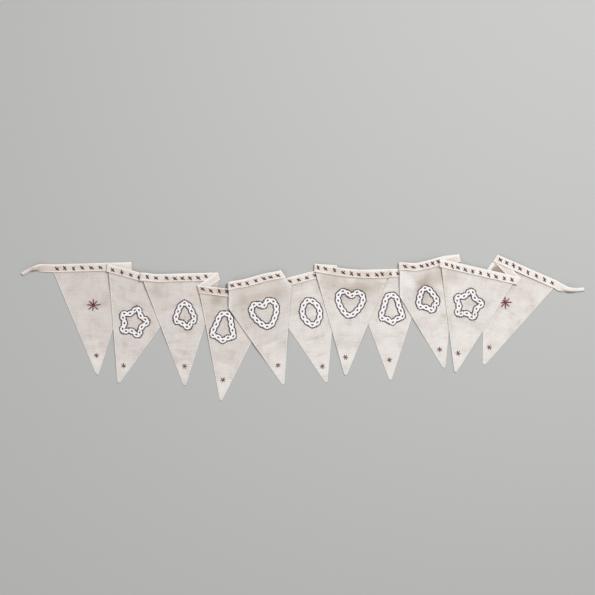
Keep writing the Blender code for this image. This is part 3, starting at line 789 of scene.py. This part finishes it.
def smoothEnd(rows, name):
    # finer sections between the rows of a free end
    sections, steps = [], tapeStrip["endSteps"]
    for i, (a, b) in enumerate(zip(rows, rows[1:])):
        before, after = rows[max(0, i - 1)], rows[min(len(rows) - 1, i + 2)]
        for step in range(steps):
            t, row = step / steps, []
            for p0, p1, p2, p3 in zip(before, a, b, after):
                row.append(0.5 * (2 * p1 + (p2 - p0) * t + (2 * p0 - 5 * p1 + 4 * p2 - p3) * t * t
                                  + (3 * p1 - p0 - 3 * p2 + p3) * t ** 3))
            sections.append(endSection(*row, name))
    sections.append(endSection(*rows[-1], name))
    return sections


def tapeNoise(along, across, scale):
    return noise.noise(Vector((along * scale[0], across * scale[1], scale[2])))


def makeTape():
    look, sections, tints = tapeStrip, [], []

    def add(more, tint):
        sections.extend(more)
        tints.extend([tint] * len(more))

    add(smoothEnd(leftEnd, "tape1")[::-1], look["leftEndTintAndShade"])
    last = None
    for number in range(1, 12):
        following = folds[number][0] if number < 11 else None
        add(sewnSections(number, last, following), look["tints"][number])
        if number == 11:
            break
        some = folds[number]
        backs = [f"back{number}", f"back{number}b"][:len(some) - 1]
        layers = [f"tape{number}"] + backs + [f"tape{number + 1}"]
        for i, fold in enumerate(some):
            if 0 < i < len(some) - 1:
                add([lyingSection([foldPoint(fold, a) for a in acrossTape], layers[i])], look["backTint"])
            else:
                add(foldSections(fold, layers[i], layers[i + 1]), look["backTint"])
            if i + 1 < len(some):
                add(backSections(layers[i + 1], fold, some[i + 1]), look["backTint"])
        last = some[-1]
    add(smoothEnd(rightEnd, "tape11"), look["rightTint"])
    lengths = [0.0]
    centre = len(acrossTape) // 2
    for a, b in zip(sections, sections[1:]):
        lengths.append(lengths[-1] + math.dist(a[centre], b[centre]))
    rows = len(acrossTape) - 1
    bm = startGrid(len(sections) - 1, rows, (0, 0), (len(sections) - 1, rows))
    shade = clothLayers(bm, lambda co: (lengths[round(co.x)], acrossTape[round(co.y)]))
    half, blend, smoothTints = cloth["tapeWide"] / 2, look["tintBlend"], []
    for i in range(len(tints)):
        some = tints[max(0, i - blend):i + blend + 1]
        smoothTints.append(sum(some) / len(some))
    for vert in bm.verts:
        i, j = round(vert.co.x), round(vert.co.y)
        x, y, z = sections[i][j]
        fromTop, fromLow = half - acrossTape[j], half + acrossTape[j]
        topRoll, lowRoll = bump(fromTop, look["topWide"]), bump(fromLow, look["lowWide"])
        ripple = look["ripple"] * tapeNoise(lengths[i], acrossTape[j], look["rippleScale"])
        z += look["topRoll"] * topRoll + look["lowRoll"] * lowRoll + abs(ripple)
        least, more = look["uneven"]
        tint = smoothTints[i] * (least + more * tapeNoise(lengths[i], acrossTape[j], look["unevenScale"]))
        # the tint, less the painted highlights along both edges
        vert[shade] = tint - look["topHighlight"] * topRoll - look["lowEdgeHighlight"] * lowRoll
        vert.co = toFrame(x, y, z)
    piece = finishSheet("cottonTape", bm, tapeCotton, look["thick"])
    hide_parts("tape")
    return piece, lengths[-1]


tape, tapeLength = makeTape()
print("tape ready, millimetres long:", round(tapeLength))
bpy.context.view_layer.update()


def treeOf(piece):
    return BVHTree.FromObject(piece, bpy.context.evaluated_depsgraph_get())


linenTrees = {number: treeOf(piece) for number, piece in linens.items()}
tapeTree = treeOf(tape)


def topOf(tree, p, otherwise):
    # the height of a piece's upper side at a point of the row, in millimetres
    x, y, _ = toFrame(p.x, p.y, 0)
    hit = tree.ray_cast(Vector((x, y, 0.05)), Vector((0, 0, -1)))
    return hit[0].z / mm if hit[0] else otherwise


def threadPath(spots, rises, ground):
    return [Vector((p.x, p.y, ground(p) + rise)) for p, rise in zip(spots, rises)]


threadEnd = 0.55  # how much of its thickness a stitch keeps at its ends


def addStitch(bm, path, thickness, sides):
    # a thread along a few points, pulled in at both ends
    count, rings = len(path), []
    for i, point in enumerate(path):
        ahead = path[min(count - 1, i + 1)] - path[max(0, i - 1)]
        sideways = ahead.cross(Vector((0, 0, 1))).normalized()
        lift = sideways.cross(ahead).normalized()
        share = i / (count - 1)
        radius = thickness / 2 * (threadEnd + (1 - threadEnd) * math.sin(math.pi * share) ** 0.5)
        rings.append(bmesh.ops.create_circle(bm, segments=sides, radius=radius)["verts"])
        for vert in rings[-1]:
            vert.co = point + sideways * vert.co.x + lift * vert.co.y
    for a, b in zip(rings, rings[1:]):
        edges = {edge for ring in (a, b) for vert in ring for edge in vert.link_edges
                 if edge.other_vert(vert) in ring}
        bmesh.ops.bridge_loops(bm, edges=list(edges))
    for ring in (rings[0], rings[-1]):
        bmesh.ops.contextual_create(bm, geom=ring)


stitchShares = [step / 4 for step in range(5)]
crossStitch = {
    "size": 9.2, "sizeRange": (0.88, 1.12), "thread": 2.5, "sides": 6,
    # turn, share of the size, share of the thread, rise: the first arm lies under the other
    "arms": [(45, 0.8, 0.75, 0.5), (-45, 1, 1, 0.95)],
    "sink": 0.1, "twist": 14, "uneven": 0.36,
    "endClear": 4.5, "aside": 1.6,  # how near the tape's ends a cross may be, and how far off its middle
    "tapeTop": 3.0,
}
# the middle of each cross in the photo, pennant by pennant
crosses = {
    1: [(57.3, 268.8), (65, 268.1), (73.8, 268.5), (82.5, 267.9), (91.5, 267.9), (100.6, 267.5)],
    2: [(112.9, 270.4), (122.1, 272.5), (131.3, 275), (139.4, 277.5)],
    3: [(147.8, 277.1), (156.5, 277.9), (166.9, 278.1), (175.4, 278.5), (182.8, 278.3), (190.3, 278.3),
        (198.5, 278.1), (206.3, 276.3)],
    4: [(202.9, 289), (211.3, 290.9), (219.4, 291.4), (226.9, 291.6)],
    5: [(232.5, 285.6), (239.5, 284.4), (247.5, 283.5), (256.3, 281.6), (264.4, 280), (271, 278.1),
        (278.1, 275.4)],
    6: [(289.8, 281.3), (298.8, 280), (306.9, 278.1), (315, 276)],
    7: [(318.1, 267.5), (325.4, 268.8), (334.4, 270), (343.1, 272.5), (351.3, 273.8), (358.8, 274.8),
        (367.5, 275), (376.6, 275)],
    8: [(382, 274.2), (390.1, 274.3), (398, 275.1)],
    9: [(404.8, 266.5), (413.1, 267.3), (421.3, 266.3), (426.9, 265), (432.5, 263.4), (438.1, 261.6)],
    10: [(446, 264.4), (451.9, 266.3), (457.5, 267.5), (464.8, 269.8), (472.5, 271.5), (480, 273.5),
         (488.1, 275.6), (495.6, 277.1), (503.8, 278.5), (511.3, 279.8)],
    11: [(499.8, 260), (506.4, 262.8), (513.1, 265.6), (519.6, 268.8), (527.8, 272.5), (536, 275.9),
         (544.4, 279.6), (551.9, 282.9)],
}


def makeCrosses():
    random.seed(11)
    look, bm = crossStitch, bmesh.new()
    for number, spots in crosses.items():
        _, down = axesOf(number)
        low, high = tapeEnd(number, -1) + look["endClear"], tapeEnd(number, 1) - look["endClear"]
        for spot in spots:
            # kept on the tape, near its middle line
            point = fromPhoto(*spot)
            u, _ = onPennant(number, point)
            base = place(number, within(u, low, high), -cloth["tapeWide"] / 2)
            centre = base + down * within((point - base).dot(down), -look["aside"], look["aside"])
            for turn, sizeShare, threadShare, rise in look["arms"]:
                angle = math.radians(turn + random.uniform(-look["twist"], look["twist"]) - pennants[number][2])
                half = look["size"] / 2 * random.uniform(*look["sizeRange"]) * sizeShare
                reachOut = Vector((math.cos(angle), math.sin(angle))) * half
                nudge = Vector((random.uniform(-1, 1), random.uniform(-1, 1))) * look["uneven"]
                along = [centre + nudge + reachOut * (2 * t - 1) for t in stitchShares]
                rises = [rise * math.sin(math.pi * t) - look["sink"] for t in stitchShares]
                path = threadPath(along, rises, lambda p: topOf(tapeTree, p, look["tapeTop"]))
                addStitch(bm, path, look["thread"] * threadShare, look["sides"])
    return finishThread("crossStitches", bm, crossThread)


crossPiece = makeCrosses()
print("cross stitches ready")

starStitch = {
    # reach, thread, rays, and how far each star is turned from the last
    "big": (12.2, 2.1, 8, 0.0), "small": (5.0, 1.5, 6, 0.3),
    "uneven": 0.12, "reachRange": (0.84, 1.1), "hollow": 0.5,
    "rise": 0.34, "lift": 0.05, "sides": 5, "linenTop": 1.0,
}
bigStars = {1: (93.5, 305.3), 11: (505.2, 302.3)}
smallStars = {1: (96.6, 355.5), 2: (123.7, 365.8), 3: (184.7, 366.1), 4: (223, 379.8), 5: (278, 365.2),
              6: (322.3, 366.3), 7: (345.4, 357.2), 8: (389.4, 359.8), 9: (439.7, 349.5), 10: (458.1, 353.2),
              11: (489.2, 347.3)}


def makeStars():
    random.seed(23)
    look, bm = starStitch, bmesh.new()
    rises = [look["rise"] * math.sin(math.pi * t) + look["lift"] for t in stitchShares]
    for size, stars in (("big", bigStars), ("small", smallStars)):
        reachOut, thread, rays, turned = look[size]
        for number, spot in stars.items():
            centre, tree = fromPhoto(*spot), linenTrees[number]
            for ray in range(rays):
                angle = 2 * math.pi * ray / rays + random.uniform(-look["uneven"], look["uneven"])
                angle += number * turned
                far = reachOut * random.uniform(*look["reachRange"])
                heading = Vector((math.cos(angle), math.sin(angle)))
                along = [centre + heading * (look["hollow"] + (far - look["hollow"]) * t) for t in stitchShares]
                path = threadPath(along, rises, lambda p: topOf(tree, p, look["linenTop"]))
                addStitch(bm, path, thread, look["sides"])
    finishThread("starStitches", bm, starThread)


makeStars()
print("stars ready")


braid = {
    "ringWide": 10.2, "ringWidths": (0.93, 1.0),
    "ringLong": 13.2, "ringOverlap": 1.22, "ringSlack": 0.2, "ringTurn": 0.12,
    "pitch": 10.5,  # from a ring's middle to the waist beside it
    "holeWide": 2.9, "holeLong": 4.4,
    "thick": 0.9, "squash": 0.55, "lift": 0.6, "cordSides": 7, "ringSteps": 18,
    "picot": 0.10, "picots": 9,
    "knotLong": 3.8, "knotThread": 2.0,  # the stitch that holds each ring down
    "knotSpots": (-1, -0.35, 0.35, 1), "knotRises": (0.0, 0.35, 0.35, 0.0),
    "outlineGap": 0.75, "outlineWidths": (10.2, 8.6, 7.8, 8.6),  # from a ring to a waist and back
    "outlineOverlap": 1.3, "outlineThread": 2.5, "outlineThreads": (0.85, 1.1),
    "outlineStitch": 4.2, "outlineStart": 0.3, "outlineStop": 0.25, "outlineRises": (0.05, 0.5, 0.5, 0.05),
    "sides": 5,
}
# each motif's shape and the place of its middle on its pennant
motifs = {2: ("star", -3.0, 74.0), 3: ("tree", 4.5, 59.0), 4: ("bell", -15.0, 55.0), 5: ("heart", 3.0, 58.0),
          6: ("lozenge", 5.0, 57.0), 7: ("heart", 2.0, 52.0), 8: ("bell", 5.0, 57.0), 9: ("tree", -1.5, 55.0),
          10: ("star", -4.0, 54.0)}
# half of each shape, from its top down the right side to its foot
halfShapes = {
    "star": [(0, 30), (8.5, 11), (28, 9), (13.5, -5), (17.5, -25), (0, -14)],
    "tree": [(0, 31), (21, -13), (8, -13), (8, -28)],
    "bell": [(0, 26), (10, 21), (13, 4), (22, -17), (8, -18), (0, -27)],
    "heart": [(0, 13), (7, 24), (17, 24), (24, 14), (20, -3), (0, -27)],
    "lozenge": [(0, 30), (21, 0), (0, -30)],
}


def rounded(points):
    # every corner is cut off twice
    for _ in range(2):
        cut = []
        for a, b in pairsRound(points):
            cut += [a.lerp(b, 0.25), a.lerp(b, 0.75)]
        points = cut
    return points


def lengthsRound(points):
    lengths = [0.0]
    for a, b in pairsRound(points):
        lengths.append(lengths[-1] + (b - a).length)
    return lengths


def evenSteps(points, count):
    lengths = lengthsRound(points)
    steps = []
    for step in range(count):
        target = lengths[-1] * step / count
        i = max(j for j, s in enumerate(lengths[:-1]) if s <= target)
        share = (target - lengths[i]) / (lengths[i + 1] - lengths[i])
        steps.append(points[i].lerp(points[(i + 1) % len(points)], share))
    return steps


def braidLine(shape):
    # the middles of rings and waists by turns
    half = [Vector(point) for point in halfShapes[shape]]
    line = rounded(half + [Vector((-point.x, point.y)) for point in half[-2:0:-1]])
    return evenSteps(line, 2 * round(lengthsRound(line)[-1] / braid["pitch"]))


def connected(verts):
    # everything that hangs together with some vertices
    found, waiting = set(verts), list(verts)
    while waiting:
        for edge in waiting.pop().link_edges:
            for vert in edge.verts:
                if vert not in found:
                    found.add(vert)
                    waiting.append(vert)
    return found


def addRing(bm, centre, heading, long, wide, ground):
    # a flat ring of cord: a circle spun round, stretched to an oval, then laid on the cloth
    look = braid
    cordLong, cordWide = (long - look["holeLong"]) / 2, (wide - look["holeWide"]) / 2
    middleLong, middleWide = (long - cordLong) / 2, (wide - cordWide) / 2
    verts = bmesh.ops.create_circle(bm, segments=look["cordSides"], radius=0.5)["verts"]
    for vert in verts:
        vert.co = Vector((1.0 + vert.co.x, 0, vert.co.y))
    edges = list({edge for vert in verts for edge in vert.link_edges})
    bmesh.ops.spin(bm, geom=verts + edges, cent=(0, 0, 0), axis=(0, 0, 1), angle=2 * math.pi,
                   steps=look["ringSteps"], use_merge=True)
    cos, sin = math.cos(heading), math.sin(heading)
    for vert in connected(verts):
        angle = math.atan2(vert.co.y, vert.co.x)
        away = math.hypot(vert.co.x, vert.co.y) - 1.0
        x = math.cos(angle) * (middleLong + away * cordLong)
        y = math.sin(angle) * (middleWide + away * cordWide)
        p = centre + Vector((x * cos - y * sin, x * sin + y * cos))
        # flatter than a round cord
        flat = math.copysign(0.5 * abs(2 * vert.co.z) ** look["squash"], vert.co.z)
        picot = look["picot"] * math.sin(angle * look["picots"])
        vert.co = Vector((p.x, p.y, ground(p) + look["lift"] + flat * (look["thick"] + picot)))


def motifPoint(number, motif, flat):
    return place(number, motif[1] + flat.x, motif[2] - flat.y)


def addRings(rings, knots, laid, spacings, ground):
    look, count = braid, len(laid)
    for i in range(0, count, 2):
        ahead = laid[(i + 1) % count] - laid[i - 1]
        long = min(look["ringLong"], spacings[i] * look["ringOverlap"] + look["ringSlack"])
        heading = math.atan2(ahead.y, ahead.x) + random.uniform(-look["ringTurn"], look["ringTurn"])
        wide = look["ringWide"] * random.uniform(*look["ringWidths"])
        addRing(rings, laid[i], heading, long, wide, ground)
        knot = Vector((math.cos(heading), math.sin(heading))) * look["knotLong"] / 2
        spots = [laid[i] + knot * t for t in look["knotSpots"]]
        addStitch(knots, threadPath(spots, look["knotRises"], ground), look["knotThread"], look["sides"])


def besideBraid(middles, side):
    # a line along the scalloped edge, without what would lie on the braid
    count, edge, normals = len(middles), [], []
    for i in range(count):
        ahead = middles[(i + 1) % count] - middles[i - 1]
        normals.append(Vector((-ahead.y, ahead.x)).normalized())
    for i in range(count * 2):
        j, part = i // 2, i % 2
        m = middles[j].lerp(middles[(j + 1) % count], part / 2)
        n = normals[j].lerp(normals[(j + 1) % count], part / 2).normalized()
        reachOut = braid["outlineWidths"][i % 4] / 2 + braid["outlineGap"]
        point = m + n * side * reachOut
        if min((point - other).length for other in middles) > reachOut - braid["outlineOverlap"]:
            edge.append(point)
    return edge


def addOutline(bm, number, motif, edge, ground):
    look = braid
    stitches = round(lengthsRound(edge)[-1] / look["outlineStitch"])
    posts = evenSteps(edge, stitches * 3)
    for k in range(stitches):
        some = [posts[(k * 3 + j) % len(posts)] for j in range(4)]
        start = some[0].lerp(some[1], random.uniform(0.0, look["outlineStart"]))
        stop = some[3].lerp(some[2], random.uniform(0.0, look["outlineStop"]))
        spots = [motifPoint(number, motif, flat) for flat in (start, some[1], some[2], stop)]
        thread = look["outlineThread"] * random.uniform(*look["outlineThreads"])
        addStitch(bm, threadPath(spots, look["outlineRises"], ground), thread, look["sides"])


def makeMotif(number, motif):
    random.seed(100 + number)
    middles = braidLine(motif[0])
    laid = [motifPoint(number, motif, flat) for flat in middles]
    spacings = [(b - a).length for a, b in zip(middles, middles[2:] + middles[:2])]

    def ground(p):
        return topOf(linenTrees[number], p, floorOf(f"pennant{number}", p.x, p.y) + cloth["thick"])

    rings, outline = bmesh.new(), bmesh.new()
    addRings(rings, outline, laid, spacings, ground)
    ringPiece = finishThread(f"ringBraid{number:02d}", rings, braidCotton)
    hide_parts(f"motif_{number:02d}")
    for side in (1, -1):
        addOutline(outline, number, motif, besideBraid(middles, side), ground)
    outlinePiece = finishThread(f"outline{number:02d}", outline, outlineThread)
    return ringPiece, outlinePiece


motifPieces = {number: makeMotif(number, motif) for number, motif in motifs.items()}
print("motifs ready")


stage = {
    "floorSize": 6.0, "floorBelow": 0.00005, "floorColor": (0.475, 0.478, 0.470), "floorRoughness": 0.9,
    "skyColor": (0.99, 0.99, 1.0), "skyStrength": 0.42,
    "lampColor": (1.0, 0.99, 0.98),
    # place, size, power
    "lamps": {"windowLight": ((0.85, 1.05, 2.15), 0.5, 42.0), "fillLight": ((-1.6, -1.0, 2.2), 2.0, 13.0)},
    "cameraHeight": 3.0, "sensor": 36.0,
}

bm = bmesh.new()
bmesh.ops.create_grid(bm, x_segments=1, y_segments=1, size=stage["floorSize"] / 2)
floorMesh = bpy.data.meshes.new("paleFloor")
bm.to_mesh(floorMesh)
bm.free()
floorMesh.materials.append(newMaterial("paleFloor", stage["floorColor"], stage["floorRoughness"]))
floor = addToScene("paleFloor", floorMesh)
floor.location.z = -stage["floorBelow"]

world = bpy.data.worlds.new("softRoom")
bpy.context.scene.world = world
world.use_nodes = True
sky = world.node_tree.nodes["Background"]
sky.inputs["Color"].default_value = (*stage["skyColor"], 1)
sky.inputs["Strength"].default_value = stage["skyStrength"]

for name, (spot, size, power) in stage["lamps"].items():
    light = bpy.data.lights.new(name, "AREA")
    light.shape, light.size, light.energy, light.color = "DISK", size, power, stage["lampColor"]
    lamp = addToScene(name, light)
    lamp.location = spot
    lamp.rotation_euler = (-Vector(spot)).to_track_quat("-Z", "Y").to_euler()

# straight above, with the whole photo's width in view
camera = bpy.data.cameras.new("camera")
camera.sensor_width = stage["sensor"]
camera.lens = stage["sensor"] * stage["cameraHeight"] / (photo["size"] * photo["perPixel"] * mm)
viewer = addToScene("camera", camera)
centre = fromPhoto(photo["size"] / 2, photo["size"] / 2)
viewer.location = toFrame(centre.x, centre.y, stage["cameraHeight"] / mm)
bpy.context.scene.camera = viewer
bpy.context.scene.view_settings.view_transform = "Standard"
print("floor, light and camera ready")
